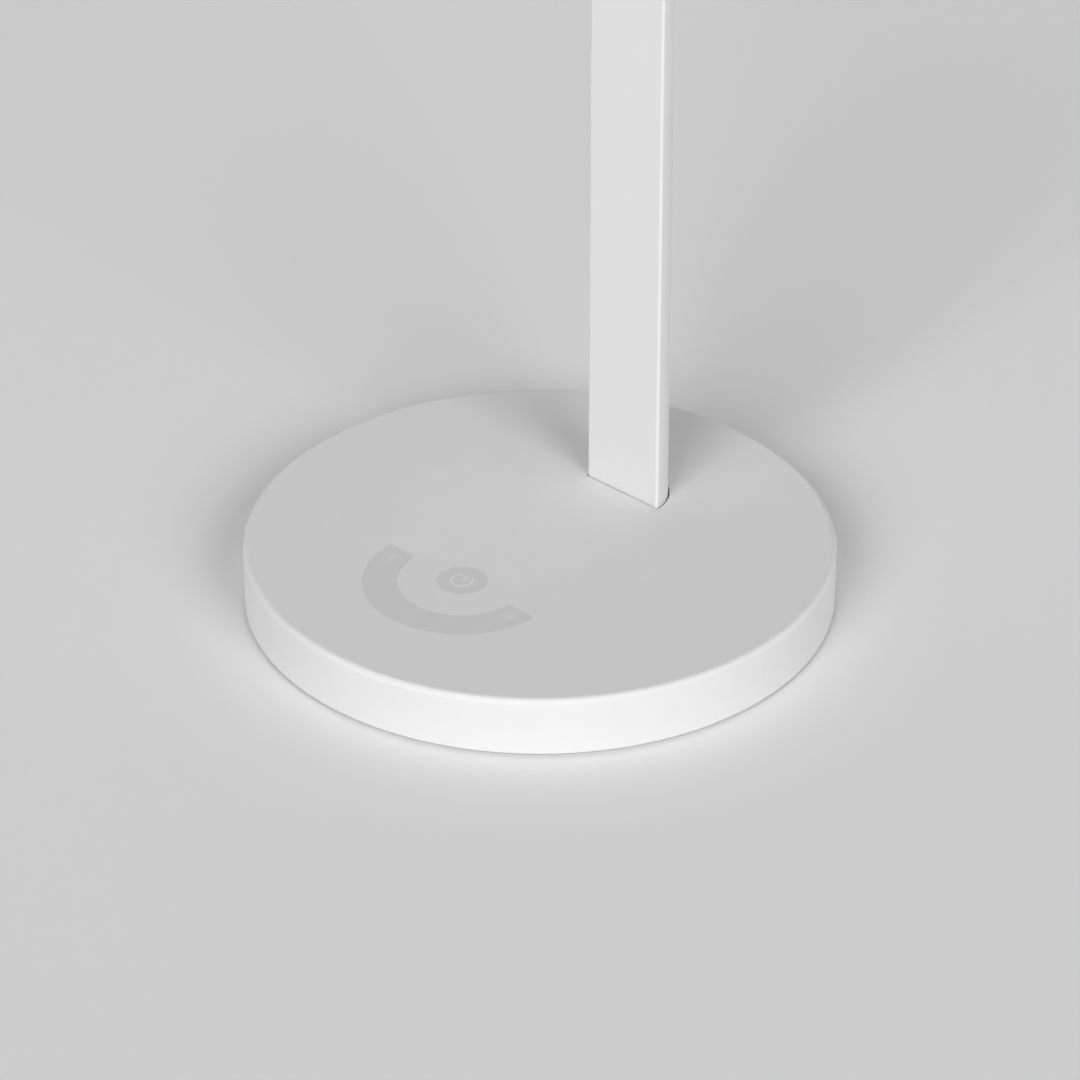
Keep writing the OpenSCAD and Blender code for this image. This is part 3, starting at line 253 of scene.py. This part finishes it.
finishes = {
    cover_white: ["base_cover"],
    bar_white: ["stem_tube", "arm_shell"],
    fitting_white: ["stem_top", "arm_fork", "arm_tip", "hinge_caps",
                    "stem_screw_cover", "fork_screw_cover"],
    inlay_grey: ["power_pad", "dimmer_arc"],
    plate_black: ["base_plate"],
    mat_black: ["grip_mat"],
    bumper_grey: ["bumper"],
    foam_black: ["touch_electrodes"],
    chip_black: ["touch_chip", "power_inductor", "driver_chips"],
    inlet_black: ["dc_jack"],
    bush_black: ["hinge_bush"],
    cable_black: ["touch_cable", "stem_cable", "arm_cable"],
    nylon: ["touch_connector", "board_connectors"],
    board_green: ["touch_board", "driver_board"],
    board_white: ["led_board"],
    phosphor: ["led_chips"],
    reflector_white: ["reflector"],
    plated: ["ballast", "plate_screws", "ballast_screws", "stem_screws", "stem_set_screws",
             "board_screws", "stem_top_screw", "fork_screw", "capacitor"],
    ground: ["friction_washers", "hinge_pin", "disc_springs", "hinge_nut", "stop_dowel"],
    cast: ["stem_foot"],
    brass: ["dc_pin"],
    diffuser_opal: ["diffuser"],
}
for material, names in finishes.items():
    for name in names:
        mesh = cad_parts[name].data
        mesh.materials.clear()
        mesh.materials.append(material)
undressed = sorted(set(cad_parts) - {name for names in finishes.values() for name in names})
if undressed:
    raise RuntimeError("nodes without a finish: %s" % undressed)

# ---- Printed icons on the touch controls. Their sizes are in millimetres round the pad's centre ----

PRINT = 0.02 * MM                   # thickness of the ink
WELD = PRINT / 100                  # points closer than this are joined
RING_STEPS, SUN_STEPS, CAP_STEPS = 48, 24, 8
RAYS = 8

low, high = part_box("power_pad")
pad_x, pad_y, top_z = (low.x + high.x) / 2, (low.y + high.y) / 2, high.z


def on_top(build, outline):
    return [build.verts.new((pad_x + x * MM, pad_y + y * MM, top_z + PRINT)) for x, y in outline]


def add_icon(name, shapes):
    """One printed mark from flat shapes. Each is a list of points, or the outer and inner edge of a
    band as a pair of lists of equal length."""
    build = bmesh.new()
    for shape in shapes:
        if isinstance(shape, tuple):
            outer, inner = [on_top(build, edge) for edge in shape]
            for i in range(len(outer) - 1):
                build.faces.new((outer[i], outer[i + 1], inner[i + 1], inner[i]))
        else:
            build.faces.new(on_top(build, shape))
    bmesh.ops.remove_doubles(build, verts=build.verts, dist=WELD)
    bmesh.ops.recalc_face_normals(build, faces=build.faces)
    for face in build.faces:
        if face.normal.z < 0:
            face.normal_flip()
    lowered = bmesh.ops.extrude_face_region(build, geom=list(build.faces))
    bottom = [item for item in lowered["geom"] if isinstance(item, bmesh.types.BMVert)]
    bmesh.ops.translate(build, verts=bottom, vec=(0, 0, -PRINT))
    bmesh.ops.recalc_face_normals(build, faces=build.faces)
    mesh = bpy.data.meshes.new(name)
    build.to_mesh(mesh)
    build.free()
    mesh.materials.append(icon_light)
    icon = bpy.data.objects.new(name, mesh)
    scene.collection.objects.link(icon)
    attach(icon, "stand")


def around(cx, cy, r, degrees):
    angle = math.radians(degrees)
    return cx + r * math.cos(angle), cy + r * math.sin(angle)


def arc(cx, cy, r, start, end, steps):
    return [around(cx, cy, r, start + (end - start) * i / steps) for i in range(steps + 1)]


def band(cx, cy, r, width, start, end, steps):
    """A curved stroke, as its outer and inner edge."""
    return arc(cx, cy, r + width / 2, start, end, steps), arc(cx, cy, r - width / 2, start, end, steps)


def bar(cx, cy, degrees, r0, r1, width):
    """A straight stroke from r0 to r1 from a centre, with round ends."""
    far_end = around(cx, cy, r1 - width / 2, degrees)
    near_end = around(cx, cy, r0 + width / 2, degrees)
    return (arc(*far_end, width / 2, degrees - 90, degrees + 90, CAP_STEPS)
            + arc(*near_end, width / 2, degrees + 90, degrees + 270, CAP_STEPS))


def power(r, reach, width, opening):
    """A ring open at the back, and an upright bar from its centre."""
    return [band(0, 0, r, width, 90 + opening / 2, 450 - opening / 2, RING_STEPS),
            bar(0, 0, 90, 0, reach, width)]


def sun(degrees, distance, core, ray, width):
    """A small ring with rays, at an angle and a distance from the pad's centre."""
    cx, cy = around(0, 0, distance, degrees)
    start = core + width
    return [band(cx, cy, core, width, 0, 360, SUN_STEPS)] + [
        bar(cx, cy, 360 * i / RAYS, start, start + ray, width) for i in range(RAYS)]


add_icon("power_icon", power(r=3.3, reach=3.8, width=0.7, opening=70))
add_icon("dim_icon", sun(degrees=191.5, distance=25.0, core=0.8, ray=0.6, width=0.4))
add_icon("bright_icon", sun(degrees=350.5, distance=24.3, core=1.15, ray=0.9, width=0.42))

# ---- Floor, world and lights ----

FLOOR_R, FLOOR_SIDES = 8, 96
FLOOR_GREY = 234                    # its paper, as an 8-bit grey
FADE_START, FADE_END = 0.8, 7.0     # distances over which the floor turns white
GLOW_LOW, GLOW_HIGH = 0.2, 0.5      # heights in the sky over which its light falls off
GLOW_BRIGHT, GLOW_DIM = 0.63, 0.12  # its strength below and above them
FILL_AZIMUTH = math.radians(226)    # the middle of a soft fill behind the lamp, low in the sky
FILL_GLOW, FILL_TOP = 3.0, 0.3      # its strength at the horizon, and the height where it ends


def math_node(tree, operation, first, second):
    """A Math node on two sockets, or on a socket and a number."""
    node = tree.nodes.new("ShaderNodeMath")
    node.operation = operation
    tree.links.new(first, node.inputs[0])
    if isinstance(second, float):
        node.inputs[1].default_value = second
    else:
        tree.links.new(second, node.inputs[1])
    return node.outputs[0]


def seen_white(tree, kind, share, lit):
    """Blend plain white over a floor or a sky, by this share, for the rays that show it: straight on,
    mirrored or through something clear. The light that it sends to the lamp stays as it is."""
    white = tree.nodes.new(kind)
    white.inputs["Color"].default_value = WHITE
    white.inputs["Strength"].default_value = 1.0
    rays = tree.nodes.new("ShaderNodeLightPath").outputs
    shown = math_node(tree, "MAXIMUM", rays["Is Camera Ray"], rays["Is Glossy Ray"])
    shown = math_node(tree, "MAXIMUM", shown, rays["Is Transmission Ray"])
    blend = tree.nodes.new("ShaderNodeMixShader")
    tree.links.new(math_node(tree, "MULTIPLY", shown, share), blend.inputs[0])
    tree.links.new(lit, blend.inputs[1])
    tree.links.new(white.outputs[0], blend.inputs[2])
    return blend.outputs[0]


def add_floor():
    """Pale paper that fades to white far from the lamp, where it meets the sky."""
    mesh = bpy.data.meshes.new("floor")
    build = bmesh.new()
    bmesh.ops.create_circle(build, cap_ends=True, radius=FLOOR_R, segments=FLOOR_SIDES)
    build.to_mesh(mesh)
    build.free()
    m = Mat("floor_paper", Specular_IOR_Level=0.1, Roughness=0.85, Base_Color=lin(FLOOR_GREY))
    distance = m.nodes.new("ShaderNodeVectorMath")
    distance.operation = "LENGTH"
    m.links.new(m.place, distance.inputs[0])
    share = m.span(distance.outputs["Value"], 0.0, 1.0, FADE_START, FADE_END)
    shown = seen_white(m.mat.node_tree, "ShaderNodeEmission", share, m.shader.outputs[0])
    m.links.new(shown, m.nodes["Material Output"].inputs["Surface"])
    mesh.materials.append(m.mat)
    floor = bpy.data.objects.new("floor", mesh)
    scene.collection.objects.link(floor)


def add_world():
    """A sky that is brightest near the horizon, and most of all behind the lamp, so that upright
    faces stay light all round. Seen directly, mirrored or through something clear, it is white."""
    world = bpy.data.worlds.new("world")
    scene.world = world
    world.use_nodes = True
    tree = world.node_tree
    direction = tree.nodes.new("ShaderNodeTexCoord").outputs["Generated"]
    parts = tree.nodes.new("ShaderNodeSeparateXYZ")
    tree.links.new(direction, parts.inputs["Vector"])
    height = parts.outputs["Z"]
    fall = ramp(tree, height, GLOW_BRIGHT, GLOW_DIM, GLOW_LOW, GLOW_HIGH)

    behind = tree.nodes.new("ShaderNodeVectorMath")
    behind.operation = "DOT_PRODUCT"
    behind.inputs[1].default_value = (math.sin(FILL_AZIMUTH), -math.cos(FILL_AZIMUTH), 0)
    tree.links.new(direction, behind.inputs[0])
    around_back = ramp(tree, behind.outputs["Value"], 0.0, 1.0, 0.0, 1.0, "SMOOTHSTEP")
    near_horizon = ramp(tree, height, FILL_GLOW, 0.0, 0.0, FILL_TOP)
    fill = math_node(tree, "MULTIPLY", near_horizon, around_back)

    glow = tree.nodes["Background"]
    glow.inputs["Color"].default_value = WHITE
    tree.links.new(math_node(tree, "ADD", fall, fill), glow.inputs["Strength"])
    shown = seen_white(tree, "ShaderNodeBackground", 1.0, glow.outputs[0])
    tree.links.new(shown, tree.nodes["World Output"].inputs["Surface"])


def add_soft_light(name, azimuth, elevation, strength, spread=30):
    """A wide soft light, even all over. Azimuth 0 shines from the front, 90 from the lamp's right."""
    a, e = math.radians(azimuth), math.radians(elevation)
    source = Vector((math.sin(a) * math.cos(e), -math.cos(a) * math.cos(e), math.sin(e)))
    data = bpy.data.lights.new(name, "SUN")
    data.energy = strength
    data.angle = math.radians(spread)
    light = bpy.data.objects.new(name, data)
    light.rotation_euler = (-source).to_track_quat("-Z", "Y").to_euler()
    scene.collection.objects.link(light)


add_floor()
add_world()
add_soft_light("key_left", azimuth=19, elevation=30, strength=1.775)
add_soft_light("key_right", azimuth=74, elevation=30, strength=1.475)

scene.view_settings.view_transform = "Standard"
